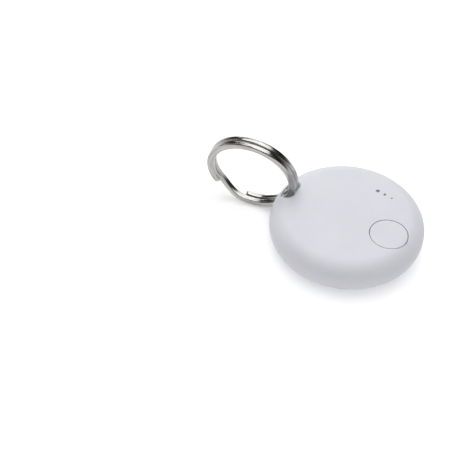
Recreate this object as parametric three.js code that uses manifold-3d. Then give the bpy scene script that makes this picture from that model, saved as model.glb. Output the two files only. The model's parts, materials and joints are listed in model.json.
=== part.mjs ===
// A round Bluetooth tracker tag with its key ring: snap-together shells, button, buzzer, board and coin cell.
// Millimetres. The origin is the centre of the flat underside, +Z is up and +X points to the button;
// the eyelet is a little round from the opposite side.
import * as THREE from "three";
import { mergeVertices } from "three/addons/utils/BufferGeometryUtils.js";
import Module from "manifold-3d";

const wasm = await Module();
wasm.setup();

// Housing
const BODY_R = 20;
const BODY_H = 10;
const EDGE_R = 4.6;
const CROWN = 0.2;
const WALL = 1.3;
const SEAM_Z = 2;
const SEAM_GAP = 0.12;
const LIP_W = 1;
const LIP_TOP = 3.2;
const LIP_CLEARANCE = 0.23;

// Eyelet, a slot along the rim with a bar outside it
const BAR_W = 1.6;
const EYELET_TURN = THREE.MathUtils.degToRad(7.8);
const SLOT_W = 3.5;
const SLOT_LENGTH = 6.8;
const SLOT_CHAMFER = 0.4;
const EYELET_WALL = 1.2;
const BAR_KNEE_DEPTH = 2.4;
const BAR_FOOT_DEPTH = 4.3;

// Button
const BUTTON_R = 4.7;
const BUTTON_INSET = 7.8;
const BUTTON_GAP = 0.25;
const BUTTON_SINK = 0.04;
const BUTTON_SKIN = 1.1;
const BUTTON_RIM_W = 1.2;
const BUTTON_POST_R = 1.1;
const FLANGE_DEPTH = 2;
const FLANGE_T = 0.3;
const FLANGE_OVERLAP = 0.45;
const GUIDE_W = 0.95;
const PLAY = 0.1;

// Sound holes in a row, growing smaller towards the button
const SOUND_CENTRE_X = 3.95;
const SOUND_Y = 11.3;
const SOUND_PITCH = 2.1;
const SOUND_RADII = [0.5, 0.38, 0.26];

// Buzzer, hung under the lid
const BUZZER_R = 4.5;
const BUZZER_SEAT_W = 0.9;
const BUZZER_SEAT_RIB = 0.5;
const BUZZER_PLATE_T = 0.2;
const CERAMIC_R = 3;
const CERAMIC_T = 0.2;
const TAPE_T = 0.15;

// Coin cell
const CELL_X = 3;
const CELL_R = 10;
const CELL_T = 3.2;
const CELL_CAN_W = 0.7;
const CELL_GASKET_W = 0.4;
const CELL_SHOULDER = 0.3;

// Battery door, turned with a coin
const DOOR_T = 0.85;
const DOOR_FLANGE = 1.6;
const PLUG_W = 1;
const PLUG_CLEARANCE = 0.3;
const DOOR_HOLE_CLEARANCE = 0.5;
const TAB_W = 0.9;
const TAB_T = 0.55;
const TAB_COUNT = 3;
const TAB_ANGLE = THREE.MathUtils.degToRad(24);
const TAB_NOTCH_EXTRA = THREE.MathUtils.degToRad(5);
const DOOR_TURN = THREE.MathUtils.degToRad(32);
const COIN_SLOT_LENGTH = 12;
const COIN_SLOT_W = 1.6;
const COIN_SLOT_DEPTH = 0.45;
const SEAL_R = 0.19;

// Circuit board and what sits on it
const BOARD_INSET = 4;
const BOARD_T = 0.6;
const BOARD_EYELET_CLEARANCE = 0.7;
const CONTACT_SPACE = 0.55;
const SEAT_GAP = 0.05;
const SWITCH_SIDE = 3.4;
const SWITCH_H = 0.6;
const PLUNGER_R = 0.8;
const PLUNGER_H = 0.45;
const PLUNGER_LIFT = 0.3;
const SWITCH_BORE_CLEARANCE = 0.15;

// Contacts
const CONTACT_T = 0.15;
const CONTACT_W = 3;

// Board screws
const SCREW_ANGLES = [39, -69, 149].map(THREE.MathUtils.degToRad);
const SCREW_EDGE = 1.7;
const SCREW_HEAD_R = 1.2;
const SCREW_HEAD_T = 0.6;
const SCREW_R = 0.6;
const SCREW_BITE = 1.3;
const SCREW_SLOT_W = 0.3;
const SCREW_SLOT_DEPTH = 0.25;
const SCREW_HOLE_CLEARANCE = 0.3;
const BOSS_R = 1.6;
const BOSS_BORE_CLEARANCE = 0.15;

// Split ring: two coils of flat wire, standing on its edge and threaded through the eyelet
const RING_R = 12.3;
const WIRE_W = 1.8;
const WIRE_T = 1.5;
const COIL_GAP = 0.1;
const WIRE_CHAMFER = 0.2;
const CROSSOVER_ANGLE = 0.7;
const CROSSOVER_PLACE = THREE.MathUtils.degToRad(235);
const RING_END_GAP = 0.05;
const RING_YAW = THREE.MathUtils.degToRad(9.5);
const RING_LEAN = THREE.MathUtils.degToRad(8.7);
const THREAD_INWARD = 0.27;
const THREAD_ASIDE = 0.13;
const FLOOR_CLEARANCE = 0.03;

// Facets
const BODY_FACETS = 56;
const DOOR_FACETS = 40;
const ROUND_FACETS = 28;
const SMALL_FACETS = 12;
const OUTER_STEPS = 6;
const INNER_STEPS = 4;
const RING_STEPS = 96;

// Derived places
const CORE_R = BODY_R - EDGE_R;
const SLOT_OUTER_X = -(BODY_R - BAR_W);
const SLOT_INNER_X = SLOT_OUTER_X + SLOT_W;
const SLOT_X = (SLOT_OUTER_X + SLOT_INNER_X) / 2;
const BUTTON_X = BODY_R - BUTTON_INSET;
const FLANGE_TOP = BODY_H - FLANGE_DEPTH;
const FLANGE_BOTTOM = FLANGE_TOP - FLANGE_T;
const FLANGE_R = BUTTON_R + BUTTON_GAP + FLANGE_OVERLAP;
const DOOR_R = CELL_R + DOOR_FLANGE;
const DOOR_HOLE_R = CELL_R + DOOR_HOLE_CLEARANCE;
const PLUG_R = DOOR_HOLE_R - PLUG_CLEARANCE;
const TAB_BOTTOM = WALL + PLAY;
const TAB_TOP = TAB_BOTTOM + TAB_T;
const CELL_BOTTOM = TAB_TOP + 2 * PLAY;
const CELL_TOP = CELL_BOTTOM + CELL_T;
const CAN_TOP = CELL_TOP - CELL_SHOULDER;
const CELL_CORE_Z = CELL_BOTTOM + (2 / 3) * CELL_T;
const BOARD_R = BODY_R - BOARD_INSET;
const BOARD_BOTTOM = CELL_TOP + CONTACT_SPACE;
const BOARD_TOP = BOARD_BOTTOM + BOARD_T;
const SEAT_Z = BOARD_TOP + SEAT_GAP;
const PLUNGER_BOTTOM = SEAT_Z + PLUNGER_LIFT;
const PLUNGER_TOP = PLUNGER_BOTTOM + PLUNGER_H;
const SCREW_CIRCLE_R = BOARD_R - SCREW_EDGE;
const SCREW_PLACES = SCREW_ANGLES.map((a) => [SCREW_CIRCLE_R * Math.cos(a), SCREW_CIRCLE_R * Math.sin(a)]);
const BUZZER_SEAT_Z = BODY_H - WALL - BUZZER_SEAT_RIB;
const INSIDE_LID = BODY_H - WALL / 2;
const THREAD_X = SLOT_X + THREAD_INWARD;
const THREAD_Z = BODY_H - BAR_KNEE_DEPTH / 2;
const PAST = 3;

const white = { color: 0xf2f2f4, roughness: 0.45, metalness: 0 };
const nickel = { color: 0xb9b9b6, roughness: 0.25, metalness: 1 };
const gold = { color: 0xc9a45a, roughness: 0.35, metalness: 1 };
const black = { color: 0x1c1c1e, roughness: 0.5, metalness: 0 };
const green = { color: 0x1d5b3a, roughness: 0.5, metalness: 0 };
const cream = { color: 0xd9cfb8, roughness: 0.6, metalness: 0 };
const grey = { color: 0x6d6d70, roughness: 0.7, metalness: 0 };

const part = new THREE.Group();

// Turns a closed geometry into a solid that can be joined and cut.
function solidOf(geometry) {
  const bare = geometry.clone();
  bare.deleteAttribute("normal");
  bare.deleteAttribute("uv");
  const merged = mergeVertices(bare, 1e-4);
  return new wasm.Manifold(
    new wasm.Mesh({
      numProp: 3,
      vertProperties: new Float32Array(merged.attributes.position.array),
      triVerts: new Uint32Array(merged.index.array),
    }),
  );
}

function geometryOf(solid) {
  const mesh = solid.getMesh();
  return new THREE.BufferGeometry()
    .setAttribute("position", new THREE.BufferAttribute(mesh.vertProperties, 3))
    .setIndex(new THREE.BufferAttribute(mesh.triVerts, 1));
}

// Adds one named mesh to the part.
function add(name, solid, look) {
  const mesh = new THREE.Mesh(geometryOf(solid), new THREE.MeshStandardMaterial(look));
  mesh.name = name;
  part.add(mesh);
  return mesh;
}

// A solid of revolution from [radius, height] points that run up the outside, about an axis at x.
function revolve(points, facets = BODY_FACETS, x = 0, lift = 0) {
  const profile = points.map(([r, z]) => new THREE.Vector2(r, z));
  return solidOf(new THREE.LatheGeometry(profile, facets).rotateX(Math.PI / 2).translate(x, 0, lift));
}

function cylinder(x, y, r, z0, z1, facets = ROUND_FACETS) {
  const geometry = new THREE.CylinderGeometry(r, r, z1 - z0, facets).rotateX(Math.PI / 2);
  return solidOf(geometry.translate(x, y, (z0 + z1) / 2));
}

function tube(x, y, rIn, rOut, z0, z1, facets = ROUND_FACETS) {
  return cylinder(x, y, rOut, z0, z1, facets).subtract(cylinder(x, y, rIn, z0 - 1, z1 + 1, facets));
}

function boxGeometry([x0, x1], [y0, y1], [z0, z1]) {
  const geometry = new THREE.BoxGeometry(x1 - x0, y1 - y0, z1 - z0);
  return geometry.translate((x0 + x1) / 2, (y0 + y1) / 2, (z0 + z1) / 2);
}

function box(xs, ys, zs) {
  return solidOf(boxGeometry(xs, ys, zs));
}

function extrudeGeometry(shape, z0, z1, bevel = 0) {
  const options = {
    depth: z1 - z0,
    bevelEnabled: bevel > 0,
    bevelThickness: bevel,
    bevelSize: bevel,
    bevelSegments: 1,
    curveSegments: 8,
  };
  return new THREE.ExtrudeGeometry(shape, options).translate(0, 0, z0);
}

// The eyelet is drawn at the -X end, symmetric about y = 0, then turned about Z to its place on the rim.
function atEyelet(geometry) {
  return solidOf(geometry.rotateZ(EYELET_TURN));
}

// The rounded outline of the eyelet slot, grown outwards by a margin.
function slotOutline(margin) {
  const r = SLOT_W / 2 + margin;
  const half = SLOT_LENGTH / 2 - SLOT_W / 2;
  const shape = new THREE.Shape();
  shape.absarc(SLOT_X, half, r, 0, Math.PI, false);
  shape.absarc(SLOT_X, -half, r, Math.PI, 2 * Math.PI, false);
  shape.closePath();
  return shape;
}

// The slot itself, with a chamfered mouth at the top.
function slotCutter() {
  const straight = extrudeGeometry(slotOutline(0), -PAST, BODY_H + PAST);
  const mouth = extrudeGeometry(slotOutline(0), BODY_H - CROWN, BODY_H + PAST, SLOT_CHAMFER);
  return atEyelet(straight).add(atEyelet(mouth));
}

// Opens the rim under the bar, so that the ring can stand up beside the tag.
function undercut() {
  const beyond = -BODY_R - PAST;
  const kneeZ = BODY_H - BAR_KNEE_DEPTH;
  const footZ = BODY_H - BAR_FOOT_DEPTH;
  const slope = (kneeZ - footZ) / BAR_W;
  const outline = [
    [SLOT_INNER_X, -PAST],
    [SLOT_INNER_X, kneeZ],
    [SLOT_OUTER_X, kneeZ],
    [beyond, kneeZ - slope * (SLOT_OUTER_X - beyond)],
    [beyond, -PAST],
  ];
  const shape = new THREE.Shape(outline.map(([x, z]) => new THREE.Vector2(x, z)));
  const prism = extrudeGeometry(shape, -SLOT_LENGTH / 2, SLOT_LENGTH / 2);
  return atEyelet(prism.rotateX(Math.PI / 2));
}

// Half the tag's section from the underside to the crown, moved inwards by a wall.
function bodyProfile(inset, steps) {
  const r = EDGE_R - inset;
  const points = [[0, inset]];
  for (let i = 0; i <= steps; i++) {
    const a = (i / steps) * (Math.PI / 2);
    points.push([CORE_R + r * Math.sin(a), EDGE_R - r * Math.cos(a)]);
  }
  for (let i = 0; i <= steps; i++) {
    const a = (i / steps) * (Math.PI / 2);
    points.push([CORE_R + r * Math.cos(a), BODY_H - CROWN - EDGE_R + r * Math.sin(a)]);
  }
  points.push([CORE_R / 2, BODY_H - CROWN / 4 - inset]);
  points.push([0, BODY_H - inset]);
  return points;
}

// The inner wall's radius at a height below the middle.
function innerRadius(z) {
  const r = EDGE_R - WALL;
  return CORE_R + Math.sqrt(r ** 2 - (EDGE_R - z) ** 2);
}

const outer = revolve(bodyProfile(0, OUTER_STEPS));
const inner = revolve(bodyProfile(WALL, INNER_STEPS));
const skin = outer.subtract(inner);
const everything = BODY_R + PAST;
const span = [-everything, everything];
const eyeletCut = slotCutter().add(undercut());
const blockHalf = SLOT_LENGTH / 2 + EYELET_WALL;
const eyeletBlock = atEyelet(extrudeGeometry(slotOutline(EYELET_WALL), -PAST, BODY_H + PAST))
  .add(atEyelet(boxGeometry([-everything, SLOT_X], [-blockHalf, blockHalf], span)))
  .intersect(outer);

function soundHoles() {
  return SOUND_RADII.map((r, i) =>
    cylinder(SOUND_CENTRE_X + (i - 1) * SOUND_PITCH, SOUND_Y, r, BUZZER_SEAT_Z - 1, BODY_H + 1, SMALL_FACETS),
  );
}

function topShell() {
  const holeR = BUTTON_R + BUTTON_GAP;
  const guide = cylinder(BUTTON_X, 0, holeR + GUIDE_W, FLANGE_TOP + PLAY, INSIDE_LID);
  const seatR = BUZZER_R - BUZZER_SEAT_W;
  const seat = tube(SOUND_CENTRE_X, SOUND_Y, seatR, BUZZER_R, BUZZER_SEAT_Z, INSIDE_LID);
  let shell = skin.add(eyeletBlock).add(guide.intersect(outer)).add(seat.intersect(outer));
  for (const [x, y] of SCREW_PLACES) {
    shell = shell.add(cylinder(x, y, BOSS_R, SEAT_Z, INSIDE_LID, SMALL_FACETS));
  }
  shell = shell.intersect(box(span, span, [SEAM_Z, BODY_H + PAST]));
  shell = shell.subtract(eyeletCut).subtract(cylinder(BUTTON_X, 0, holeR, SEAM_Z, BODY_H + PAST));
  shell = shell.subtract(cylinder(BUTTON_X, 0, FLANGE_R + 3 * PLAY, SEAT_Z, FLANGE_TOP + PLAY));
  for (const hole of soundHoles()) {
    shell = shell.subtract(hole);
  }
  const boreR = SCREW_R + BOSS_BORE_CLEARANCE;
  const boreTop = SEAT_Z + SCREW_BITE + PLAY;
  for (const [x, y] of SCREW_PLACES) {
    shell = shell.subtract(cylinder(x, y, boreR, BOARD_TOP, boreTop, SMALL_FACETS));
  }
  return shell;
}

// A block between two radii about the door's centre, spread over an angle.
function sector(rIn, rOut, middle, angle, z0, z1) {
  const shape = new THREE.Shape();
  shape.absarc(0, 0, rOut, middle - angle / 2, middle + angle / 2, false);
  shape.absarc(0, 0, rIn, middle + angle / 2, middle - angle / 2, true);
  shape.closePath();
  return solidOf(extrudeGeometry(shape, z0, z1).translate(CELL_X, 0, 0));
}

const tabMiddles = Array.from({ length: TAB_COUNT }, (_, i) => ((i + 0.5) / TAB_COUNT) * 2 * Math.PI);

function bottomShell() {
  const floorTop = box(span, span, [-PAST, SEAM_Z - SEAM_GAP]);
  const lipR = innerRadius(SEAM_Z) - LIP_CLEARANCE;
  const roomHalf = blockHalf + LIP_CLEARANCE;
  const roomSide = SLOT_INNER_X + EYELET_WALL + LIP_CLEARANCE;
  const room = boxGeometry([-everything, roomSide], [-roomHalf, roomHalf], [SEAM_Z - SEAM_GAP, BODY_H]);
  const lip = tube(0, 0, lipR - LIP_W, lipR, WALL / 2 + LIP_CLEARANCE, LIP_TOP, BODY_FACETS);
  let shell = skin.add(eyeletBlock).intersect(floorTop).add(lip.intersect(outer).subtract(atEyelet(room)));
  const recessTop = DOOR_T + PLAY;
  shell = shell.subtract(cylinder(CELL_X, 0, DOOR_R + PLAY, -PAST, recessTop, DOOR_FACETS));
  shell = shell.subtract(cylinder(CELL_X, 0, DOOR_HOLE_R, 0, BODY_H, DOOR_FACETS));
  const notchR = PLUG_R + TAB_W + 2 * PLAY;
  const notchAngle = TAB_ANGLE + TAB_NOTCH_EXTRA;
  for (const middle of tabMiddles) {
    shell = shell.subtract(sector(PLUG_R - PLUG_W, notchR, middle + DOOR_TURN, notchAngle, 0, WALL + PLAY));
  }
  return shell.subtract(eyeletCut);
}

function batteryDoor() {
  let door = cylinder(CELL_X, 0, DOOR_R, 0, DOOR_T, DOOR_FACETS);
  door = door.add(tube(CELL_X, 0, PLUG_R - PLUG_W, PLUG_R, DOOR_T / 2, TAB_TOP, DOOR_FACETS));
  for (const middle of tabMiddles) {
    door = door.add(sector(PLUG_R - PLUG_W / 2, PLUG_R + TAB_W, middle, TAB_ANGLE, TAB_BOTTOM, TAB_TOP));
  }
  const grooveIn = DOOR_HOLE_R + PLUG_CLEARANCE;
  const grooveOut = DOOR_R - PLUG_CLEARANCE;
  const grooveFloor = DOOR_T - 2 * SEAL_R;
  door = door.subtract(tube(CELL_X, 0, grooveIn, grooveOut, grooveFloor, DOOR_T + PLAY / 2, DOOR_FACETS));
  const halfW = COIN_SLOT_W / 2;
  const halfL = COIN_SLOT_LENGTH / 2;
  return door.subtract(box([CELL_X - halfW, CELL_X + halfW], [-halfL, halfL], [-PAST, COIN_SLOT_DEPTH]));
}

function doorSeal() {
  const major = (DOOR_HOLE_R + DOOR_R) / 2;
  const z = DOOR_T + PLAY - SEAL_R - SEAT_GAP / 2;
  const steps = 6;
  const points = [];
  for (let i = 0; i <= steps; i++) {
    const a = (i / steps) * 2 * Math.PI;
    points.push([major + SEAL_R * Math.cos(a), z + SEAL_R * Math.sin(a)]);
  }
  return revolve(points, DOOR_FACETS, CELL_X);
}

function buttonCap() {
  const rimR = BUTTON_R - BUTTON_RIM_W;
  let cap = cylinder(BUTTON_X, 0, BUTTON_R, FLANGE_BOTTOM, BODY_H + PAST);
  cap = cap.intersect(revolve(bodyProfile(0, OUTER_STEPS), BODY_FACETS, 0, -BUTTON_SINK));
  cap = cap.subtract(cylinder(BUTTON_X, 0, rimR, FLANGE_BOTTOM - 1, BODY_H - BUTTON_SKIN));
  cap = cap.add(tube(BUTTON_X, 0, rimR, FLANGE_R, FLANGE_BOTTOM, FLANGE_TOP));
  const postBottom = PLUNGER_TOP + PLAY;
  return cap.add(cylinder(BUTTON_X, 0, BUTTON_POST_R, postBottom, BODY_H - BUTTON_SKIN / 2, SMALL_FACETS));
}

function circuitBoard() {
  const cutX = SLOT_INNER_X + EYELET_WALL + BOARD_EYELET_CLEARANCE;
  const cutY = blockHalf + BOARD_EYELET_CLEARANCE;
  let board = cylinder(0, 0, BOARD_R, BOARD_BOTTOM, BOARD_TOP, BODY_FACETS);
  board = board.subtract(atEyelet(boxGeometry([-everything, cutX], [-cutY, cutY], span)));
  const holeR = SCREW_R + SCREW_HOLE_CLEARANCE;
  for (const [x, y] of SCREW_PLACES) {
    board = board.subtract(cylinder(x, y, holeR, 0, BODY_H, SMALL_FACETS));
  }
  return board;
}

function switchBody() {
  const half = SWITCH_SIDE / 2;
  const block = box([BUTTON_X - half, BUTTON_X + half], [-half, half], [SEAT_Z, SEAT_Z + SWITCH_H]);
  return block.subtract(cylinder(BUTTON_X, 0, PLUNGER_R + SWITCH_BORE_CLEARANCE, 0, BODY_H, SMALL_FACETS));
}

function addBuzzer() {
  const place = [SOUND_CENTRE_X, SOUND_Y];
  const tapeTop = BUZZER_SEAT_Z - SEAT_GAP;
  const plateTop = tapeTop - TAPE_T - SEAT_GAP;
  const ceramicTop = plateTop - BUZZER_PLATE_T - SEAT_GAP;
  add("buzzer_tape", tube(...place, BUZZER_R - BUZZER_SEAT_W, BUZZER_R, tapeTop - TAPE_T, tapeTop), grey);
  add("buzzer_plate", cylinder(...place, BUZZER_R, plateTop - BUZZER_PLATE_T, plateTop), gold);
  add("buzzer_ceramic", cylinder(...place, CERAMIC_R, ceramicTop - CERAMIC_T, ceramicTop), cream);
}

function addCell() {
  const canIn = CELL_R - CELL_CAN_W;
  const capR = canIn - CELL_GASKET_W - 2 * PLAY;
  const can = [
    [0, CELL_BOTTOM], [CELL_R, CELL_BOTTOM], [CELL_R, CAN_TOP],
    [canIn, CAN_TOP], [canIn, CELL_CORE_Z], [0, CELL_CORE_Z],
  ];
  const capBottom = CELL_CORE_Z + PLAY;
  const cap = [
    [0, capBottom], [capR, capBottom], [capR, CAN_TOP],
    [capR - CELL_SHOULDER, CELL_TOP], [0, CELL_TOP],
  ];
  add("cell_can", revolve(can, DOOR_FACETS, CELL_X), nickel);
  add("cell_cap", revolve(cap, DOOR_FACETS, CELL_X), nickel);
  const gasket = tube(CELL_X, 0, capR + PLAY, canIn - PLAY, capBottom, CAN_TOP, DOOR_FACETS);
  add("cell_gasket", gasket, black);
}

function addContacts() {
  const half = CONTACT_W / 2;
  const footTop = BOARD_BOTTOM - SEAT_GAP;
  const leafTop = (CELL_TOP + BOARD_BOTTOM) / 2 + CONTACT_T / 2;
  const leafEnd = CELL_X - CELL_R + CONTACT_W;
  const leaf = box([leafEnd, CELL_X + CONTACT_W], [-half, half], [leafTop - CONTACT_T, leafTop])
    .add(box([leafEnd, leafEnd + half], [-half, half], [leafTop - CONTACT_T, footTop]))
    .add(cylinder(CELL_X, 0, half / 2, CELL_TOP + SEAT_GAP, leafTop, SMALL_FACETS));
  add("negative_contact", leaf, gold);
  const armX = CELL_X + CELL_R + CONTACT_T;
  const clip = box([armX, armX + CONTACT_T], [-half, half], [CELL_BOTTOM + CELL_T / 4, footTop])
    .add(box([armX, armX + half], [-half, half], [footTop - CONTACT_T, footTop]));
  add("positive_contact", clip, gold);
}

// Parts soldered on top of the board: [name, centre x, centre y, length x, width y, height, look].
const BOARD_PARTS = [
  ["radio_chip", -3.5, -1.5, 5, 5, 0.85, black],
  ["crystal", -3.5, -6.6, 2.5, 2, 0.6, nickel],
  ["antenna_chip", -9.5, -7.5, 1.6, 3.2, 1.1, cream],
  ["inductor", 2.2, -4.6, 2, 2, 1, grey],
  ["capacitor_1", 2.2, -1.5, 1, 0.6, 0.5, cream],
  ["capacitor_2", 2.2, 0.3, 1, 0.6, 0.5, cream],
  ["capacitor_3", -0.3, -6.6, 1, 0.6, 0.5, cream],
  ["capacitor_4", -7.6, -1, 0.6, 1, 0.5, cream],
  ["resistor_1", -3.5, 2.6, 1, 0.6, 0.35, black],
  ["resistor_2", -5.4, 2.6, 1, 0.6, 0.35, black],
  ["resistor_3", -7.6, -3, 0.6, 1, 0.35, black],
];

function addBoardParts() {
  for (const [name, x, y, length, width, height, look] of BOARD_PARTS) {
    const xs = [x - length / 2, x + length / 2];
    const ys = [y - width / 2, y + width / 2];
    add(name, box(xs, ys, [SEAT_Z, SEAT_Z + height]), look);
  }
}

function addScrews() {
  const headTop = BOARD_BOTTOM - SEAT_GAP;
  const headBottom = headTop - SCREW_HEAD_T;
  SCREW_PLACES.forEach(([x, y], i) => {
    const shank = cylinder(x, y, SCREW_R, headBottom + SCREW_HEAD_T / 2, SEAT_Z + SCREW_BITE, SMALL_FACETS);
    const head = cylinder(x, y, SCREW_HEAD_R, headBottom, headTop, SMALL_FACETS);
    const half = SCREW_SLOT_W / 2;
    const slot = box([x - half, x + half], span, [headBottom - 1, headBottom + SCREW_SLOT_DEPTH]);
    add(`board_screw_${i + 1}`, head.add(shank).subtract(slot), nickel);
  });
}

// The ring's wire centre line: one turn in the lower layer, a crossover, then one turn in the upper layer.
class CoilCurve extends THREE.Curve {
  getPoint(t, target = new THREE.Vector3()) {
    const start = CROSSOVER_ANGLE / 2 + RING_END_GAP;
    const angle = start + t * (4 * Math.PI - 2 * start);
    const across = THREE.MathUtils.smoothstep(angle - 2 * Math.PI, -CROSSOVER_ANGLE / 2, CROSSOVER_ANGLE / 2);
    const radius = RING_R - WIRE_W / 2;
    const layer = (across - 0.5) * (WIRE_T + COIL_GAP);
    const place = angle + CROSSOVER_PLACE;
    return target.set(radius * Math.cos(place), radius * Math.sin(place), layer);
  }
}

// A chamfered rectangle, the flat wire's section; x runs across the layers.
function wireSection() {
  const a = WIRE_T / 2;
  const b = WIRE_W / 2;
  const c = WIRE_CHAMFER;
  const corners = [
    [a - c, -b], [a, -b + c], [a, b - c], [a - c, b],
    [-a + c, b], [-a, b - c], [-a, -b + c], [-a + c, -b],
  ];
  return new THREE.Shape(corners.map(([x, y]) => new THREE.Vector2(x, y)));
}

// The ring stands on its edge, yawed and leaning, with its wire passing the bar inside the slot.
function splitRing() {
  const options = { steps: RING_STEPS, bevelEnabled: false, extrudePath: new CoilCurve() };
  const geometry = new THREE.ExtrudeGeometry(wireSection(), options);
  const turn = new THREE.Matrix4().makeRotationZ(RING_YAW);
  turn.multiply(new THREE.Matrix4().makeRotationX(Math.PI / 2 + RING_LEAN));
  geometry.applyMatrix4(turn);
  const halfWidth = WIRE_T + COIL_GAP / 2;
  const height = RING_R * Math.cos(RING_LEAN) + halfWidth * Math.sin(RING_LEAN) + FLOOR_CLEARANCE;
  const wireR = RING_R - WIRE_W / 2;
  const climb = (THREAD_Z - height) / (wireR * Math.cos(RING_LEAN));
  const reach = new THREE.Vector3(wireR * Math.sqrt(1 - climb ** 2), wireR * climb, 0).applyMatrix4(turn);
  return atEyelet(geometry.translate(THREAD_X - reach.x, -THREAD_ASIDE - reach.y, height));
}

add("top_shell", topShell(), white);
add("bottom_shell", bottomShell(), white);
add("battery_door", batteryDoor(), white);
add("door_seal", doorSeal(), black);
add("button_cap", buttonCap(), white);
add("circuit_board", circuitBoard(), green);
add("switch_body", switchBody(), black);
add("switch_plunger", cylinder(BUTTON_X, 0, PLUNGER_R, PLUNGER_BOTTOM, PLUNGER_TOP, SMALL_FACETS), grey);
addBuzzer();
addCell();
addContacts();
addBoardParts();
addScrews();
add("split_ring", splitRing(), nickel);

export default part;
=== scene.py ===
"""A round white tracker tag with a split key ring, on a pale floor under soft studio light.

The shells, door and button are meshed from distance formulas, so that every moulded edge is softly
rounded. The formulas work in millimetres, and the meshes are made in metres.
"""

import json
import math

import bpy
import numpy as np
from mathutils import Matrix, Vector


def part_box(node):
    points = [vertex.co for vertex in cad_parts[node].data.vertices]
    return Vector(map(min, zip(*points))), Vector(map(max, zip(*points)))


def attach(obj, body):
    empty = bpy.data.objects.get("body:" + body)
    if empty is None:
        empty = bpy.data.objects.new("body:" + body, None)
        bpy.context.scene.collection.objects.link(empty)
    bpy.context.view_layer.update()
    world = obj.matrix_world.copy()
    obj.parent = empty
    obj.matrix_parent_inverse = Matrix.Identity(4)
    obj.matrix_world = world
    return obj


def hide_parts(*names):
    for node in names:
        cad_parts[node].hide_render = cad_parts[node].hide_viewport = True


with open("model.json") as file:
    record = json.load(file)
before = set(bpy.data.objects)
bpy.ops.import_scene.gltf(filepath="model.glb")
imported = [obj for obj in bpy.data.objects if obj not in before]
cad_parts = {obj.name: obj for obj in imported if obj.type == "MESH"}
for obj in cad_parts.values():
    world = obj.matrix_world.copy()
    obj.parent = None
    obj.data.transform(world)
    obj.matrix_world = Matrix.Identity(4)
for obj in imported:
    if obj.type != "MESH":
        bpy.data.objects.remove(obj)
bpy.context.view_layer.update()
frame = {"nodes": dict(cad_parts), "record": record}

MM = 0.001

# Housing
BODY_R = 20.0
BODY_H = 10.0
MIDDLE_Z = BODY_H / 2
EDGE_R = 4.6
CORE_R = BODY_R - EDGE_R
CROWN = 0.2
CROWN_START_Z = 3.0
CROWN_RISE = 4.0
WALL = 1.3
SEAM_Z = 2.0
SEAM_GAP = 0.12
SEAM_LIP = 0.12
LIP_W = 1.0
LIP_TOP = 3.2
LIP_CLEARANCE = 0.23

# Eyelet
EYELET_TURN = math.radians(7.8)
BAR_W = 1.6
SLOT_W = 3.5
SLOT_OUTER_X = -(BODY_R - BAR_W)
SLOT_INNER_X = SLOT_OUTER_X + SLOT_W
SLOT_X = (SLOT_OUTER_X + SLOT_INNER_X) / 2
SLOT_R = SLOT_W / 2
SLOT_HALF = 3.4
EYELET_WALL = 1.2
BAR_KNEE_Z = BODY_H - 2.4
BAR_FOOT_Z = BODY_H - 4.3
BAR_SLOPE = (BAR_KNEE_Z - BAR_FOOT_Z) / BAR_W
EYELET_LIP = 0.34
KNEE_ROUND = 0.4

# Button
BUTTON_X = BODY_R - 7.8
BUTTON_R = 4.76
BUTTON_GAP = 0.16
BUTTON_SINK = 0.04
BUTTON_SKIN = 1.1
BUTTON_RIM_R = 3.5
BUTTON_LIP = 0.1
HOLE_LIP = 0.08
POST_R = 1.1
POST_BOTTOM = BODY_H - 2.5
FLANGE_R = 5.4
FLANGE_TOP = BODY_H - 2.0
FLANGE_BOTTOM = FLANGE_TOP - 0.3
GUIDE_W = 0.95
PLAY = 0.1

# Sound holes, buzzer seat and bosses
SOUND_X = 3.95
SOUND_Y = 11.3
SOUND_PITCH = 2.1
SOUND_HOLE_SIZES = [0.48, 0.34, 0.23]
SOUND_HOLES = [(SOUND_X + SOUND_PITCH * (i - 1), r) for i, r in enumerate(SOUND_HOLE_SIZES)]
SMALL_LIP = 0.07
BUZZER_R = 4.5
BUZZER_SEAT_R = 3.6
BUZZER_SEAT_Z = BODY_H - WALL - 0.5
INSIDE_LID = BODY_H - WALL / 2
SEAT_Z = 6.6
BOSS_R = 1.6
BOSS_CIRCLE_R = 14.3
BOSS_ANGLES = [39, -69, 149]

# Battery door
DOOR_X = 3.0
DOOR_R = 11.6
DOOR_T = 0.85
DOOR_LIP = 0.14
DOOR_HOLE_R = 10.5
PLUG_R = 10.2
PLUG_W = 1.0
TAB_W = 0.9
TAB_BOTTOM = 1.4
TAB_TOP = 1.95
TAB_MIDDLES = [math.radians(60 + 120 * i) for i in range(3)]
TAB_HALF_ANGLE = math.radians(12)
NOTCH_HALF_ANGLE = math.radians(14.5)
DOOR_TURN = math.radians(32)
SEAL_GROOVE_IN = 10.8
SEAL_GROOVE_OUT = 11.3
SEAL_GROOVE_Z = 0.47
COIN_SLOT_HALF = 6.0
COIN_SLOT_W = 1.6
COIN_SLOT_DEPTH = 0.45
MARK_R = 0.32
MARK_DEPTH = 0.16
DOOR_MARK_RADIUS = 10.4
SHELL_MARK_RADIUS = 12.9
MARK_ANGLE = math.radians(90)

# Split ring
RING_R = 12.3
WIRE_W = 1.8
WIRE_T = 1.5
COIL_GAP = 0.1
CROSSOVER_ANGLE = 0.7
CROSSOVER_PLACE = math.radians(235)
RING_END_GAP = 0.05
RING_YAW = math.radians(9.5)
RING_LEAN = math.radians(8.7)
WIRE_CORNER = 0.4
WIRE_STEPS = 420
END_TAPERS = (0.72, 0.92)

# Small board parts, contacts, cell and screws keep their own meshes, with softened edges
INNER_BEVEL = 0.05

# Meshing
COARSENESS = 1.0
SLOPE_STEP = 0.01
LEAST_SLOPE = 0.5
SETTLE_STEPS = 4
MOST_STEP = 0.2
MARGIN = 0.4

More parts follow.
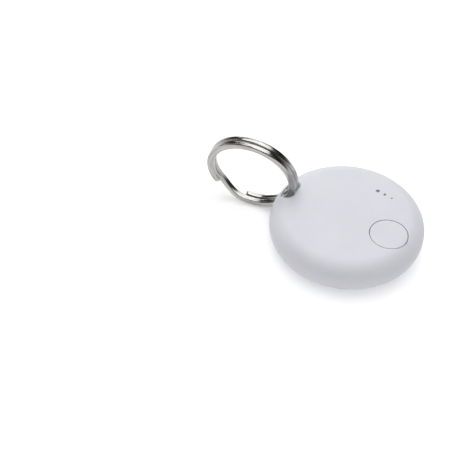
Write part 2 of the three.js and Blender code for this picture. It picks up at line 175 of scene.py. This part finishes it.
# Floor, in metres; it is lit a little from below, as on a light table
FLOOR_HALF = 4.5
FLOOR_LINES = 45
FLOOR_DROP = 0.00002
FLOOR_GLOW = 0.28

# Lights, in metres and watts: name, place, target, size and power
LIGHTS = [
    ("softbox", (-0.06, 0.14, 0.9), (0, 0.02, 0), (1.1, 1.0), 6.55),
    ("back_panel", (-0.67, 0.82, 0.52), (0, 0, 0), (0.9, 0.35), 2.8),
    ("front_fill", (0.4, -0.6, 1.0), (0, 0, 0), (0.6, 0.5), 2.35),
    ("side_fill", (-1.0, -0.2, 0.5), (0, 0, 0), (0.35, 0.7), 1.0),
]

# Surround, from straight below (0) to straight above (1), and its greys
SKY_STRENGTH = 0.5
SKY_STOPS = [
    (0.0, 0.5), (0.5, 1.15), (0.53, 0.95), (0.6, 0.25),
    (0.68, 0.06), (0.8, 0.05), (0.9, 0.4), (1.0, 0.5),
]

# Camera, in metres and in millimetres of lens
CAMERA_PLACE = (0.0758, -0.1433, 0.1751)
CAMERA_LOOK = (-0.429, 0.530, -0.731)
LENS = 71.36
SENSOR_W = 36


# ---------------------------------------------------------------- distance formulas, in millimetres

def meet(a, b, r):
    """Where both solids are, with the edge between them rounded to r."""
    return np.minimum(-r, np.maximum(a, b)) + np.hypot(np.maximum(r + a, 0), np.maximum(r + b, 0))


def join(a, b, r):
    """Either solid, with the inner corner between them filleted to r."""
    return np.maximum(r, np.minimum(a, b)) - np.hypot(np.maximum(r - a, 0), np.maximum(r - b, 0))


def cut(a, b, r):
    """The first solid without the second, with its new edge rounded to r."""
    return meet(a, -b, r)


def pillar(x, y, z, cx, cy, r, z0, z1):
    """A cylinder along z."""
    return np.maximum(np.hypot(x - cx, y - cy) - r, np.maximum(z0 - z, z - z1))


def pipe(x, y, z, cx, cy, r_in, r_out, z0, z1):
    """A tube along z."""
    r = np.hypot(x - cx, y - cy)
    return np.maximum(np.maximum(r_in - r, r - r_out), np.maximum(z0 - z, z - z1))


def body(x, y, z, inset=0.0):
    """The tag's outside, or its inner wall at an inset."""
    r = np.hypot(x, y)
    rise = np.clip((z - CROWN_START_Z) / CROWN_RISE, 0, 1)
    drop = CROWN * np.sin(math.pi / 2 * np.minimum(r / BODY_R, 1)) ** 2 * rise
    dr = r - CORE_R
    dz = np.abs(z + drop - MIDDLE_Z) - (MIDDLE_Z - EDGE_R)
    outside = np.hypot(np.maximum(dr, 0), np.maximum(dz, 0))
    return outside + np.minimum(np.maximum(dr, dz), 0) - (EDGE_R - inset)


def to_eyelet(x, y):
    """Turns the tag's coordinates into the eyelet's own."""
    c, s = math.cos(EYELET_TURN), math.sin(EYELET_TURN)
    return x * c + y * s, y * c - x * s


def slot_outline(ex, ey, margin=0.0):
    """A stadium along y round the eyelet's slot."""
    return np.hypot(ex - SLOT_X, np.maximum(np.abs(ey) - (SLOT_HALF - SLOT_R), 0)) - SLOT_R - margin


def eyelet_opening(x, y, z):
    """The slot and the open rim under the bar."""
    ex, ey = to_eyelet(x, y)
    level = z - BAR_KNEE_Z
    slant = (z - BAR_KNEE_Z + BAR_SLOPE * (SLOT_OUTER_X - ex)) / math.hypot(1, BAR_SLOPE)
    sides = np.maximum(ex - SLOT_INNER_X, np.abs(ey) - SLOT_HALF)
    under = np.maximum(meet(level, slant, KNEE_ROUND), sides)
    return join(slot_outline(ex, ey), under, KNEE_ROUND)


def eyelet_block(x, y):
    """The solid material round the slot, without a top or bottom."""
    ex, ey = to_eyelet(x, y)
    arm = np.maximum(ex - SLOT_X, np.abs(ey) - SLOT_HALF - EYELET_WALL)
    return np.minimum(slot_outline(ex, ey, EYELET_WALL), arm)


def top_shell(x, y, z):
    """The lid with its side wall, down to the seam."""
    hole_r = BUTTON_R + BUTTON_GAP
    guide = pillar(x, y, z, BUTTON_X, 0, hole_r + GUIDE_W, FLANGE_TOP + PLAY, INSIDE_LID)
    seat = pipe(x, y, z, SOUND_X, SOUND_Y, BUZZER_SEAT_R, BUZZER_R, BUZZER_SEAT_Z, INSIDE_LID)
    fill = np.minimum(np.minimum(eyelet_block(x, y), guide), seat)
    for degrees in BOSS_ANGLES:
        a = math.radians(degrees)
        bx, by = BOSS_CIRCLE_R * math.cos(a), BOSS_CIRCLE_R * math.sin(a)
        fill = np.minimum(fill, pillar(x, y, z, bx, by, BOSS_R, SEAT_Z, INSIDE_LID))
    cavity = np.maximum(body(x, y, z, WALL), -fill)
    shell = meet(np.maximum(body(x, y, z), -cavity), SEAM_Z - z, SEAM_LIP)
    shell = cut(shell, eyelet_opening(x, y, z), EYELET_LIP)
    shell = cut(shell, np.hypot(x - BUTTON_X, y) - hole_r, HOLE_LIP)
    pocket = pillar(x, y, z, BUTTON_X, 0, FLANGE_R + 3 * PLAY, SEAT_Z, FLANGE_TOP + PLAY)
    shell = np.maximum(shell, -pocket)
    for cx, r in SOUND_HOLES:
        shell = cut(shell, np.hypot(x - cx, y - SOUND_Y) - r, SMALL_LIP)
    return shell


def sector(x, y, middle, half_angle):
    """Distance to a wedge about the door's axis, measured at the plug's radius."""
    angle = np.arctan2(y, x - DOOR_X) - middle
    angle = np.abs((angle + math.pi) % (2 * math.pi) - math.pi)
    return (angle - half_angle) * PLUG_R


def mark(x, y, z, radius, angle):
    """A small round dimple in the underside, about the door's axis."""
    mx, my = DOOR_X + radius * math.cos(angle), radius * math.sin(angle)
    sphere_r = (MARK_R**2 + MARK_DEPTH**2) / (2 * MARK_DEPTH)
    return np.sqrt((x - mx) ** 2 + (y - my) ** 2 + (z + sphere_r - MARK_DEPTH) ** 2) - sphere_r


def bottom_shell(x, y, z):
    """The base with its snap lip, its round recess and the door's hole."""
    fill = eyelet_block(x, y)
    cavity = np.maximum(body(x, y, z, WALL), -fill)
    shell = meet(np.maximum(body(x, y, z), -cavity), z - (SEAM_Z - SEAM_GAP), SEAM_LIP)
    inner_r = EDGE_R - WALL
    lip_r = CORE_R + math.sqrt(inner_r**2 - (EDGE_R - SEAM_Z) ** 2) - LIP_CLEARANCE
    lip = pipe(x, y, z, 0, 0, lip_r - LIP_W, lip_r, WALL / 2 + LIP_CLEARANCE, LIP_TOP)
    ex, ey = to_eyelet(x, y)
    room = np.maximum(ex - (SLOT_INNER_X + EYELET_WALL + LIP_CLEARANCE),
                      np.abs(ey) - (SLOT_HALF + EYELET_WALL + LIP_CLEARANCE))
    lip = np.maximum(np.maximum(lip, -room), body(x, y, z))
    shell = np.minimum(shell, lip)
    from_axis = np.hypot(x - DOOR_X, y)
    shell = cut(shell, np.maximum(from_axis - DOOR_R - PLAY, z - DOOR_T - PLAY), DOOR_LIP)
    shell = np.maximum(shell, DOOR_HOLE_R - from_axis)
    for middle in TAB_MIDDLES:
        wedge = sector(x, y, middle + DOOR_TURN, NOTCH_HALF_ANGLE)
        notch = np.maximum(from_axis - PLUG_R - TAB_W - 2 * PLAY, wedge)
        shell = np.maximum(shell, -np.maximum(notch, z - WALL - PLAY))
    for angle in (MARK_ANGLE, MARK_ANGLE + DOOR_TURN):
        shell = cut(shell, mark(x, y, z, SHELL_MARK_RADIUS, angle), SMALL_LIP)
    return cut(shell, eyelet_opening(x, y, z), EYELET_LIP)


def battery_door(x, y, z):
    """The coin-turned door with its plug, tabs, seal groove and coin slot."""
    from_axis = np.hypot(x - DOOR_X, y)
    door = meet(from_axis - DOOR_R, np.maximum(-z, z - DOOR_T), DOOR_LIP)
    plug = pipe(x, y, z, DOOR_X, 0, PLUG_R - PLUG_W, PLUG_R, DOOR_T / 2, TAB_TOP)
    door = np.minimum(door, plug)
    for middle in TAB_MIDDLES:
        reach = np.maximum(from_axis - PLUG_R - TAB_W, PLUG_R - PLUG_W / 2 - from_axis)
        tab = np.maximum(reach, sector(x, y, middle, TAB_HALF_ANGLE))
        door = np.minimum(door, np.maximum(tab, np.maximum(TAB_BOTTOM - z, z - TAB_TOP)))
    groove = pipe(x, y, z, DOOR_X, 0, SEAL_GROOVE_IN, SEAL_GROOVE_OUT, SEAL_GROOVE_Z, DOOR_T + PLAY)
    door = np.maximum(door, -groove)
    run = COIN_SLOT_HALF - COIN_SLOT_W / 2
    coin = np.hypot(x - DOOR_X, np.maximum(np.abs(y) - run, 0)) - COIN_SLOT_W / 2
    door = cut(door, meet(coin, z - COIN_SLOT_DEPTH, DOOR_LIP), DOOR_LIP)
    return cut(door, mark(x, y, z, DOOR_MARK_RADIUS, MARK_ANGLE), SMALL_LIP)


def button_cap(x, y, z):
    """The press button: a cap flush with the lid, its flange and its post."""
    from_axis = np.hypot(x - BUTTON_X, y)
    cap = meet(from_axis - BUTTON_R, body(x, y, z + BUTTON_SINK), BUTTON_LIP)
    cap = np.maximum(cap, FLANGE_BOTTOM - z)
    cap = np.maximum(cap, -np.maximum(from_axis - BUTTON_RIM_R, z - (BODY_H - BUTTON_SKIN)))
    flange = pipe(x, y, z, BUTTON_X, 0, BUTTON_RIM_R, FLANGE_R, FLANGE_BOTTOM, FLANGE_TOP)
    post = pillar(x, y, z, BUTTON_X, 0, POST_R, POST_BOTTOM, BODY_H - BUTTON_SKIN / 2)
    return np.minimum(np.minimum(cap, flange), post)


# ---------------------------------------------------------------- meshing

def ticks(*spans):
    """Grid lines from (start, end, step) spans, each span's step fitted to its length."""
    lines = []
    for start, end, step in spans:
        n = max(1, round((end - start) / (step * COARSENESS)))
        lines.extend(np.linspace(start, end, n, endpoint=False))
    lines.append(spans[-1][1])
    return np.array(lines)


CORNERS = [(i, j, k) for i in (0, 1) for j in (0, 1) for k in (0, 1)]
EDGES = [(a, b) for a in CORNERS for b in CORNERS if a < b and sum(abs(p - q) for p, q in zip(a, b)) == 1]


def slope_of(distance, p):
    """The formula's gradient at points, by central differences."""
    columns = []
    for axis in range(3):
        step = np.zeros(3)
        step[axis] = SLOPE_STEP
        columns.append(distance(*(p + step).T) - distance(*(p - step).T))
    return np.stack(columns, axis=1) / (2 * SLOPE_STEP)


def surface_points(values, cells, lines):
    """One point in each cell that the surface crosses: the middle of its edge crossings."""
    at = np.stack(cells, axis=1)
    total = np.zeros(at.shape)
    hits = np.zeros(len(at))
    for a, b in EDGES:
        ia, ib = at + a, at + b
        va, vb = values[tuple(ia.T)], values[tuple(ib.T)]
        crosses = (va < 0) != (vb < 0)
        share = np.where(crosses, va / np.where(crosses, va - vb, 1), 0)[:, None]
        pa = np.stack([line[ia[:, n]] for n, line in enumerate(lines)], axis=1)
        pb = np.stack([line[ib[:, n]] for n, line in enumerate(lines)], axis=1)
        total += np.where(crosses[:, None], pa + share * (pb - pa), 0)
        hits += crosses
    return total / hits[:, None]


def quads_of(inside, index):
    """Faces across every grid edge that crosses the surface, turned outwards."""
    faces = []
    for axis in range(3):
        u, v = (axis + 1) % 3, (axis + 2) % 3
        low = np.take(inside, range(inside.shape[axis] - 1), axis)
        high = np.take(inside, range(1, inside.shape[axis]), axis)
        place = np.stack(np.nonzero(low != high), axis=1)
        keep = (place[:, u] > 0) & (place[:, v] > 0)
        keep &= (place[:, u] < inside.shape[u] - 1) & (place[:, v] < inside.shape[v] - 1)
        place = place[keep]
        ring = []
        for du, dv in ((-1, -1), (0, -1), (0, 0), (-1, 0)):
            cell = place.copy()
            cell[:, u] += du
            cell[:, v] += dv
            ring.append(index[tuple(cell.T)])
        quad = np.stack(ring, axis=1)
        outward = low[tuple(place.T)]
        faces.append(np.where(outward[:, None], quad, quad[:, ::-1]))
    return np.concatenate(faces)


def solid_piece(name, distance, xs, ys, zs):
    """Meshes a distance formula and adds it as an object with smooth normals from the formula."""
    grid = np.meshgrid(xs, ys, zs, indexing="ij")
    values = distance(*grid)
    inside = values < 0
    nx, ny, nz = (size - 1 for size in inside.shape)
    count = sum(inside[i:nx + i, j:ny + j, k:nz + k].astype(int) for i, j, k in CORNERS)
    crossed = (count > 0) & (count < len(CORNERS))
    index = np.full(crossed.shape, -1)
    cells = np.nonzero(crossed)
    index[cells] = np.arange(len(cells[0]))
    points = surface_points(values, cells, (xs, ys, zs))
    for _ in range(SETTLE_STEPS):
        slope = slope_of(distance, points)
        squared = np.maximum((slope**2).sum(1), LEAST_SLOPE**2)
        step = distance(*points.T)[:, None] * slope / squared[:, None]
        points -= np.clip(step, -MOST_STEP, MOST_STEP)
    slope = slope_of(distance, points)
    normals = slope / np.maximum(np.linalg.norm(slope, axis=1), 1e-6)[:, None]
    mesh = smooth_mesh(name, points, quads_of(inside, index).tolist())
    mesh.normals_split_custom_set_from_vertices(normals.tolist())
    return add_object(name, mesh)


def add_object(name, data):
    """Puts a mesh, a lamp or a camera into the scene."""
    holder = bpy.data.objects.new(name, data)
    bpy.context.scene.collection.objects.link(holder)
    return holder


def smooth_mesh(name, points, faces):
    """A smooth mesh from points in millimetres."""
    mesh = bpy.data.meshes.new(name)
    mesh.from_pydata((points * MM).tolist(), [], faces)
    mesh.polygons.foreach_set("use_smooth", np.ones(len(mesh.polygons), dtype=bool))
    return mesh


def ring_centre_line(count):
    """Places along the coiled wire: angle, layer height, and how far along, in the ring's own frame."""
    start = CROSSOVER_ANGLE / 2 + RING_END_GAP
    angle = np.linspace(start, 4 * math.pi - start, count)
    share = np.clip((angle - 2 * math.pi) / CROSSOVER_ANGLE + 0.5, 0, 1)
    across = share * share * (3 - 2 * share)
    layer = (across - 0.5) * (WIRE_T + COIL_GAP)
    return angle + CROSSOVER_PLACE, layer, angle * (RING_R - WIRE_W / 2)


def wire_outline(corner_steps=4):
    """The flat wire's rounded section as (across the layers, outwards) pairs."""
    a, b, c = WIRE_T / 2 - WIRE_CORNER, WIRE_W / 2 - WIRE_CORNER, WIRE_CORNER
    outline = []
    for n, (sx, sy) in enumerate(((1, 1), (-1, 1), (-1, -1), (1, -1))):
        for i in range(corner_steps + 1):
            t = (n + i / corner_steps) * math.pi / 2
            outline.append((sx * a + c * math.cos(t), sy * b + c * math.sin(t)))
        flat = ((0, 1), (-1, 0), (0, -1), (1, 0))[n]
        outline.append((flat[0] * WIRE_T / 2, flat[1] * WIRE_W / 2))
    return np.array(outline)


def key_ring():
    """The split ring as a swept wire whose ends narrow a little."""
    place, layer, along = ring_centre_line(WIRE_STEPS)
    outline = wire_outline()
    end_taper = np.ones(WIRE_STEPS)
    end_taper[[0, -1]], end_taper[[1, -2]] = END_TAPERS
    rows = []
    for angle, height, taper in zip(place, layer, end_taper):
        r = RING_R - WIRE_W / 2 + outline[:, 1] * taper
        across = height + outline[:, 0] * taper
        rows.append(np.stack([r * math.cos(angle), r * math.sin(angle), across], axis=1))
    points = np.concatenate(rows)
    n = len(outline)
    step = np.arange(WIRE_STEPS - 1)[:, None] * n
    here, after = np.arange(n), (np.arange(n) + 1) % n
    quads = np.stack([step + here, step + n + here, step + n + after, step + after], axis=2).reshape(-1, 4)
    faces = quads.tolist() + [here.tolist(), ((WIRE_STEPS - 1) * n + here[::-1]).tolist()]
    mesh = smooth_mesh("key_ring", threaded(points), faces)
    wrap_uvs(mesh, along, n)
    return add_object("key_ring", mesh)


def wrap_uvs(mesh, along, n):
    """UVs that run along the wire (u, in millimetres) and round its section (v, 0 to 1)."""
    layer = mesh.uv_layers.new(name="wire")
    for face in mesh.polygons:
        wraps = any(v % n == n - 1 for v in face.vertices) and any(v % n == 0 for v in face.vertices)
        for loop, vertex in zip(face.loop_indices, face.vertices):
            v = vertex % n
            layer.data[loop].uv = (along[vertex // n], (n if wraps and v == 0 else v) / n)


def threaded(points):
    """Stands the ring up, leans and yaws it, and puts it where the CAD ring is."""
    lean = math.pi / 2 + RING_LEAN
    x, y, z = points.T
    y, z = y * math.cos(lean) - z * math.sin(lean), y * math.sin(lean) + z * math.cos(lean)
    turn = RING_YAW + EYELET_TURN
    x, y = x * math.cos(turn) - y * math.sin(turn), x * math.sin(turn) + y * math.cos(turn)
    low, high = (np.array(corner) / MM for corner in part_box("split_ring"))
    placed = np.stack([x, y, z], axis=1)
    return placed + (low + high) / 2 - (placed.min(0) + placed.max(0)) / 2


# ---------------------------------------------------------------- materials

class Nodes:
    """A short way to write a node material."""

    def __init__(self, material):
        self.material = material
        material.use_nodes = True
        self.tree = material.node_tree
        self.tree.nodes.clear()
        self.shader = self.add("ShaderNodeBsdfPrincipled")
        output = self.add("ShaderNodeOutputMaterial")
        self.link(self.shader.outputs[0], output.inputs[0])
        self.object = self.add("ShaderNodeTexCoord").outputs["Object"]

    def add(self, kind, **settings):
        node = self.tree.nodes.new(kind)
        for key, value in settings.items():
            setattr(node, key, value)
        return node

    def link(self, source, target):
        self.tree.links.new(source, target)

    def noise(self, scale, detail=2.0, roughness=0.5, stretch=None, source=None):
        """Noise in object space, cycles per metre; stretch scales each axis."""
        node = self.add("ShaderNodeTexNoise")
        node.inputs["Scale"].default_value = scale
        node.inputs["Detail"].default_value = detail
        node.inputs["Roughness"].default_value = roughness
        place = source or self.object
        if stretch:
            mapping = self.add("ShaderNodeMapping")
            mapping.inputs["Scale"].default_value = stretch
            self.link(place, mapping.inputs["Vector"])
            place = mapping.outputs[0]
        self.link(place, node.inputs["Vector"])
        return node.outputs["Fac"]

    def ramp(self, value, *stops):
        """Colours or greys at (position, colour) stops."""
        node = self.add("ShaderNodeValToRGB")
        ramp = node.color_ramp
        while len(ramp.elements) < len(stops):
            ramp.elements.new(0.5)
        for element, (position, colour) in zip(ramp.elements, stops):
            element.position = position
            element.color = (*colour, 1) if isinstance(colour, tuple) else (colour, colour, colour, 1)
        self.link(value, node.inputs[0])
        return node.outputs[0]

    def bump(self, height, distance, strength=1.0, under=None):
        """A bump layer; distance in metres."""
        node = self.add("ShaderNodeBump")
        node.inputs["Strength"].default_value = strength
        node.inputs["Distance"].default_value = distance
        self.link(height, node.inputs["Height"])
        if under:
            self.link(under, node.inputs["Normal"])
        return node.outputs[0]

    def set(self, **values):
        for name, value in values.items():
            self.shader.inputs[name.replace("_", " ")].default_value = value


def new_nodes(name):
    """Nodes for a fresh material; the frame already holds plain ones under the slots' own names."""
    return Nodes(bpy.data.materials.new("fine_" + name))


def shade(colour, factor):
    return tuple(channel * factor for channel in colour)


def white_plastic():
    """Satin moulded white with a fine grain, shallow dimples and a slightly uneven tone and gloss."""
    n = new_nodes("white_plastic")
    cloud = n.noise(160, 3)
    tone = (0.755, 0.762, 0.815)
    n.link(n.ramp(cloud, (0.3, shade(tone, 0.985)), (0.7, shade(tone, 1.01))),
           n.shader.inputs["Base Color"])
    n.link(n.ramp(n.noise(900, 4, 0.6), (0.3, 0.40), (0.72, 0.50)), n.shader.inputs["Roughness"])
    grain = n.bump(n.noise(9000, 2, 0.6), 0.000004, 0.5)
    dimples = n.bump(n.noise(2600, 1, 0.5), 0.000006, 0.3, grain)
    n.link(dimples, n.shader.inputs["Normal"])
    n.set(Specular_IOR_Level=0.5, Subsurface_Weight=0.1, Subsurface_Scale=0.0006)
    return n


def ring_steel():
    """Bright nickel plate with fine lines drawn along the wire and an uneven polish; the dark and bright
    bands in its colour along the wire are partly real drawn lines and partly painted reflections.
    """
    n = new_nodes("ring_steel")
    uv = n.add("ShaderNodeUVMap", uv_map="wire").outputs[0]
    lines_and_painted_reflections = n.noise(1.0, 3, 0.6, stretch=(0.12, 34, 1), source=uv)
    blotches = n.noise(420, 3, 0.6)
    # Painted reflection: the base colour runs dark and bright along the same streaks, standing in for a
    # dark surround and bright streaks reflected in the wire, as well as its real drawn lines.
    colour = n.ramp(lines_and_painted_reflections, (0.3, (0.30, 0.29, 0.28)), (0.52, (0.46, 0.45, 0.44)),
                    (0.75, (0.64, 0.63, 0.61)))
    n.link(colour, n.shader.inputs["Base Color"])
    n.link(n.ramp(blotches, (0.3, 0.10), (0.75, 0.22)), n.shader.inputs["Roughness"])
    lines = n.noise(1.0, 1, 0.5, stretch=(0.06, 11, 1), source=uv)
    scratches = n.bump(lines_and_painted_reflections, 0.00003, 0.5, n.bump(lines, 0.00016, 0.55))
    n.link(n.bump(n.noise(1500, 2), 0.00001, 0.15, scratches), n.shader.inputs["Normal"])
    n.set(Metallic=1.0)
    return n


def metal(name, colour, rough, stretch=None):
    """A plated or brushed metal with uneven polish."""
    n = new_nodes(name)
    n.link(n.ramp(n.noise(300, 3), (0.3, shade(colour, 0.88)), (0.7, shade(colour, 1.06))),
           n.shader.inputs["Base Color"])
    grain = n.noise(900, 3, 0.6, stretch=stretch)
    n.link(n.ramp(grain, (0.3, rough * 0.75), (0.75, rough * 1.35)), n.shader.inputs["Roughness"])
    n.link(n.bump(grain, 0.000006, 0.5), n.shader.inputs["Normal"])
    n.set(Metallic=1.0)
    return n


def moulding(name, colour, rough, scale=2500, bump=0.00001):
    """A dull moulded, pressed or fired surface with its own grain."""
    n = new_nodes(name)
    low, high = shade(colour, 0.88), shade(colour, 1.12)
    n.link(n.ramp(n.noise(scale / 4, 4), (0.3, low), (0.7, high)), n.shader.inputs["Base Color"])
    grain = n.noise(scale, 3, 0.6)
    n.link(n.ramp(grain, (0.3, rough - 0.07), (0.7, min(rough + 0.07, 1.0))), n.shader.inputs["Roughness"])
    n.link(n.bump(grain, bump, 0.6), n.shader.inputs["Normal"])
    return n


def green_board():
    """Solder mask with faint copper tracks under it."""
    n = new_nodes("green_board")
    tracks = n.add("ShaderNodeTexBrick")
    tracks.inputs["Scale"].default_value = 260
    tracks.inputs["Mortar Size"].default_value = 0.06
    tracks.inputs["Color1"].default_value = (0.015, 0.15, 0.06, 1)
    tracks.inputs["Color2"].default_value = (0.02, 0.18, 0.075, 1)
    tracks.inputs["Mortar"].default_value = (0.035, 0.26, 0.11, 1)
    n.link(n.object, tracks.inputs["Vector"])
    n.link(tracks.outputs["Color"], n.shader.inputs["Base Color"])
    n.link(n.ramp(n.noise(700, 3), (0.3, 0.25), (0.7, 0.4)), n.shader.inputs["Roughness"])
    n.link(n.bump(tracks.outputs["Fac"], 0.00003, 0.5), n.shader.inputs["Normal"])
    return n


def floor_surface():
    """A plain pale floor with a slight sheen."""
    n = new_nodes("floor_surface")
    n.link(n.ramp(n.noise(9, 3), (0.3, (0.90, 0.90, 0.905)), (0.7, (0.915, 0.915, 0.92))),
           n.shader.inputs["Base Color"])
    n.link(n.ramp(n.noise(60, 2), (0.3, 0.30), (0.7, 0.34)), n.shader.inputs["Roughness"])
    n.set(Specular_IOR_Level=0.35, Emission_Color=(1, 1, 1, 1), Emission_Strength=FLOOR_GLOW)
    return n


def every_material():
    """One finished material for each of the record's slots."""
    return {
        "white_plastic": white_plastic(),
        "ring_steel": ring_steel(),
        "nickel": metal("nickel", (0.66, 0.65, 0.62), 0.28, stretch=(1, 6, 1)),
        "screw_steel": metal("screw_steel", (0.52, 0.52, 0.53), 0.32),
        "gold_spring": metal("gold_spring", (0.83, 0.62, 0.28), 0.26, stretch=(1, 5, 1)),
        "brass": metal("brass", (0.78, 0.57, 0.25), 0.3, stretch=(4, 1, 1)),
        "black_rubber": moulding("black_rubber", (0.025, 0.025, 0.026), 0.7),
        "green_board": green_board(),
        "black_plastic": moulding("black_plastic", (0.022, 0.022, 0.024), 0.55),
        "grey_plastic": moulding("grey_plastic", (0.25, 0.25, 0.26), 0.5),
        "grey_tape": moulding("grey_tape", (0.12, 0.12, 0.13), 0.85, 1800, 0.00003),
        "cream_ceramic": moulding("cream_ceramic", (0.62, 0.54, 0.38), 0.6),
        "grey_ferrite": moulding("grey_ferrite", (0.07, 0.07, 0.075), 0.75, 3000, 0.00002),
    }


MATERIALS = every_material()
SLOT_OF = {part["node"]: part["material_slot"] for part in frame["record"]["subparts"]}
replaced = set()


def material_of(slot_name):
    return MATERIALS[slot_name].material


def stand_in(piece, node, body_name):
    """Gives a finished piece its material and its place in the frame."""
    replaced.add(node)
    slot_name = SLOT_OF[node]
    piece.data.materials.append(material_of(slot_name))
    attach(piece, body_name)
    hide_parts(node)


# ---------------------------------------------------------------- the object

# Grid lines lie closer together where there are small edges: at the lid's top and the underside, along
# the band through the eyelet and the button, and round the sound holes and the coin slot.
FULL = BODY_R + MARGIN
FLANGE_REACH = FLANGE_R + MARGIN
DOOR_REACH = DOOR_R + MARGIN
BAND = 5.3
EYELET_END = SLOT_INNER_X + 0.3
HOLES_START = SOUND_HOLES[0][0] - 0.75
HOLES_END = SOUND_HOLES[-1][0] + 0.85
BUTTON_END = BUTTON_X + BAND
HOLES_LOW = SOUND_Y - 0.8
HOLES_HIGH = SOUND_Y + 0.8
CROWN_START = BODY_H - 0.8
OVER_TOP = BODY_H + 0.2
EDGE_MARGIN = 0.3
BASE_SKIN = 1.2
stand_in(solid_piece(
    "lid_shell", top_shell,
    ticks((-FULL, EYELET_END, 0.14), (EYELET_END, HOLES_START, 0.32), (HOLES_START, HOLES_END, 0.12),
          (HOLES_END, BUTTON_END, 0.15), (BUTTON_END, FULL, 0.28)),
    ticks((-FULL, -BAND, 0.32), (-BAND, BAND, 0.15), (BAND, HOLES_LOW, 0.3),
          (HOLES_LOW, HOLES_HIGH, 0.1), (HOLES_HIGH, FULL, 0.32)),
    ticks((SEAM_Z - EDGE_MARGIN, SEAM_Z + MARGIN, 0.1), (SEAM_Z + MARGIN, CROWN_START, 0.27),
          (CROWN_START, OVER_TOP, 0.1)),
), "top_shell", "housing")
stand_in(solid_piece(
    "base_shell", bottom_shell,
    ticks((-FULL, FULL, 0.24)),
    ticks((-FULL, FULL, 0.24)),
    ticks((-EDGE_MARGIN, BASE_SKIN, 0.12), (BASE_SKIN, LIP_TOP + MARGIN, 0.14)),
), "bottom_shell", "housing")
stand_in(solid_piece(
    "coin_door", battery_door,
    ticks((DOOR_X - DOOR_REACH, DOOR_X - COIN_SLOT_W, 0.26),
          (DOOR_X - COIN_SLOT_W, DOOR_X + COIN_SLOT_W, 0.12),
          (DOOR_X + COIN_SLOT_W, DOOR_X + DOOR_REACH, 0.26)),
    ticks((-DOOR_REACH, DOOR_REACH, 0.2)),
    ticks((-EDGE_MARGIN, BASE_SKIN, 0.1), (BASE_SKIN, TAB_TOP + EDGE_MARGIN, 0.15)),
), "battery_door", "door")
stand_in(solid_piece(
    "press_button", button_cap,
    ticks((BUTTON_X - FLANGE_REACH, BUTTON_X + FLANGE_REACH, 0.13)),
    ticks((-FLANGE_REACH, FLANGE_REACH, 0.13)),
    ticks((POST_BOTTOM - EDGE_MARGIN, CROWN_START, 0.12), (CROWN_START, OVER_TOP, 0.09)),
), "button_cap", "button")
stand_in(key_ring(), "split_ring", "ring")

for node_name, node in frame["nodes"].items():
    if node_name in replaced:
        continue
    for holder in node.material_slots:
        holder.material = material_of(SLOT_OF[node_name])
    bevel = node.modifiers.new("soft_edges", "BEVEL")
    bevel.width = INNER_BEVEL * MM
    bevel.segments = 2
    bevel.limit_method = "ANGLE"
    bevel.angle_limit = math.radians(35)

# ---------------------------------------------------------------- floor, light and camera


def floor():
    """A flat sheet, finely divided, just under the tag."""
    mesh = bpy.data.meshes.new("floor")
    line = np.linspace(-FLOOR_HALF, FLOOR_HALF, FLOOR_LINES)
    grid_x, grid_y = np.meshgrid(line, line, indexing="ij")
    points = np.stack([grid_x.ravel(), grid_y.ravel(), np.full(grid_x.size, -FLOOR_DROP)], axis=1)
    row = np.arange(FLOOR_LINES - 1)
    corner = (row[:, None] * FLOOR_LINES + row).ravel()
    faces = np.stack([corner, corner + FLOOR_LINES, corner + FLOOR_LINES + 1, corner + 1], axis=1)
    mesh.from_pydata(points.tolist(), [], faces.tolist())
    piece = add_object("floor", mesh)
    mesh.materials.append(floor_surface().material)


def area_light(name, place, target, size, power):
    """A rectangular lamp turned towards its target."""
    lamp = bpy.data.lights.new(name, "AREA")
    lamp.shape = "RECTANGLE"
    lamp.size, lamp.size_y = size
    lamp.energy = power
    holder = add_object(name, lamp)
    holder.location = place
    holder.rotation_euler = (Vector(target) - Vector(place)).to_track_quat("-Z", "Y").to_euler()


def sky():
    """A studio surround: bright at the horizon, dark halfway up and paler overhead."""
    world = bpy.data.worlds.new("studio")
    bpy.context.scene.world = world
    world.use_nodes = True
    tree = world.node_tree
    tree.nodes.clear()
    output = tree.nodes.new("ShaderNodeOutputWorld")
    background = tree.nodes.new("ShaderNodeBackground")
    ramp = tree.nodes.new("ShaderNodeValToRGB")
    separate = tree.nodes.new("ShaderNodeSeparateXYZ")
    spread = tree.nodes.new("ShaderNodeMapRange")
    place = tree.nodes.new("ShaderNodeTexCoord")
    spread.inputs["From Min"].default_value = -1.0
    tree.links.new(place.outputs["Generated"], separate.inputs[0])
    tree.links.new(separate.outputs["Z"], spread.inputs["Value"])
    tree.links.new(spread.outputs[0], ramp.inputs[0])
    tree.links.new(ramp.outputs[0], background.inputs[0])
    tree.links.new(background.outputs[0], output.inputs[0])
    elements = ramp.color_ramp.elements
    while len(elements) < len(SKY_STOPS):
        elements.new(0.5)
    for element, (position, grey) in zip(elements, SKY_STOPS):
        element.position = position
        element.color = (grey, grey, grey, 1)
    background.inputs["Strength"].default_value = SKY_STRENGTH


def camera():
    """Looks down at the tag through a long lens, from 47 degrees above the horizon."""
    lens = bpy.data.cameras.new("camera")
    lens.lens = LENS
    lens.sensor_width = SENSOR_W
    lens.clip_start = 0.01
    lens.clip_end = 20
    holder = add_object("camera", lens)
    holder.location = CAMERA_PLACE
    holder.rotation_euler = Vector(CAMERA_LOOK).to_track_quat("-Z", "Y").to_euler()
    bpy.context.scene.camera = holder


floor()
for light in LIGHTS:
    area_light(*light)
sky()
camera()
bpy.context.scene.view_settings.view_transform = "Standard"
